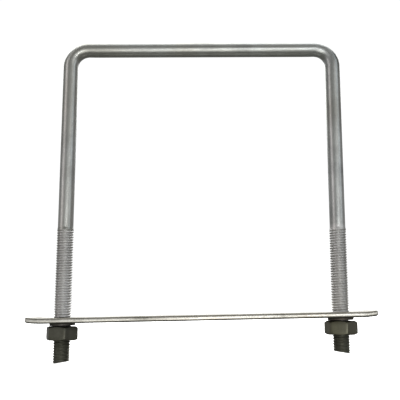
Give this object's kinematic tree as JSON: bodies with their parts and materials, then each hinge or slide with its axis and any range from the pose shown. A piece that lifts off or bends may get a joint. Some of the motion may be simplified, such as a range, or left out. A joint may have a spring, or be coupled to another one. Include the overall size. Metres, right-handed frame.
{
  "type": "u-bolt clamp",
  "caption": "Long square-bend U-bolt with threaded legs, a flat strap plate across them, split spring washers and hexagon nuts.",
  "frame": {"origin": "centre of the plate's upper (clamping) face, midway between its two holes", "axes": "+Z square to the plate towards the crossbar; +X along the plate from the left leg to the right leg; Y through the U. The rod with its nuts leans 1.2 degrees about +Y"},
  "size_m": [0.1998, 0.03, 0.1958],
  "materials": {
    "galvanised_rod": "galvanised, satin, with drawn streaks and rolled threads",
    "plate_steel": "galvanised strap with bright sheared edges",
    "washer_steel": "dull dark zinc",
    "nut_steel": "dull olive-grey zinc"
  },
  "bodies": {
    "u_bolt": {"u_bolt": "galvanised_rod"},
    "plate": {"clamp_plate": "plate_steel"},
    "left_washer": {"left_spring_washer": "washer_steel"},
    "right_washer": {"right_spring_washer": "washer_steel"},
    "left_nut": {"left_nut": "nut_steel"},
    "right_nut": {"right_nut": "nut_steel"}
  },
  "joints": [
    {"name": "left_washer_travel", "type": "slide", "parent": "u_bolt", "child": "left_washer", "axis": [0.0209, 0, 0.9998], "range_m": [-0.0075, 0.0525]},
    {"name": "left_nut_turn", "type": "hinge", "parent": "left_washer", "child": "left_nut", "pos_m": [-0.08148, 0, 0.00171], "axis": [0.0209, 0, 0.9998], "range_deg": [-1800, 12600]},
    {"name": "right_washer_travel", "type": "slide", "parent": "u_bolt", "child": "right_washer", "axis": [0.0209, 0, 0.9998], "range_m": [-0.0075, 0.0525]},
    {"name": "right_nut_turn", "type": "hinge", "parent": "right_washer", "child": "right_nut", "pos_m": [0.08148, 0, -0.00171], "axis": [0.0209, 0, 0.9998], "range_deg": [-1800, 12600]},
    {"name": "plate_lift", "type": "slide", "parent": "left_washer", "child": "plate", "axis": [0.0209, 0, 0.9998], "range_m": [0, 0.095]}
  ],
  "couplings": [
    {"joint": "left_nut_turn", "follows": "left_washer_travel", "rad_per_m": 4188.8},
    {"joint": "right_washer_travel", "follows": "left_washer_travel", "ratio": 1},
    {"joint": "right_nut_turn", "follows": "left_washer_travel", "rad_per_m": 4188.8}
  ]
}
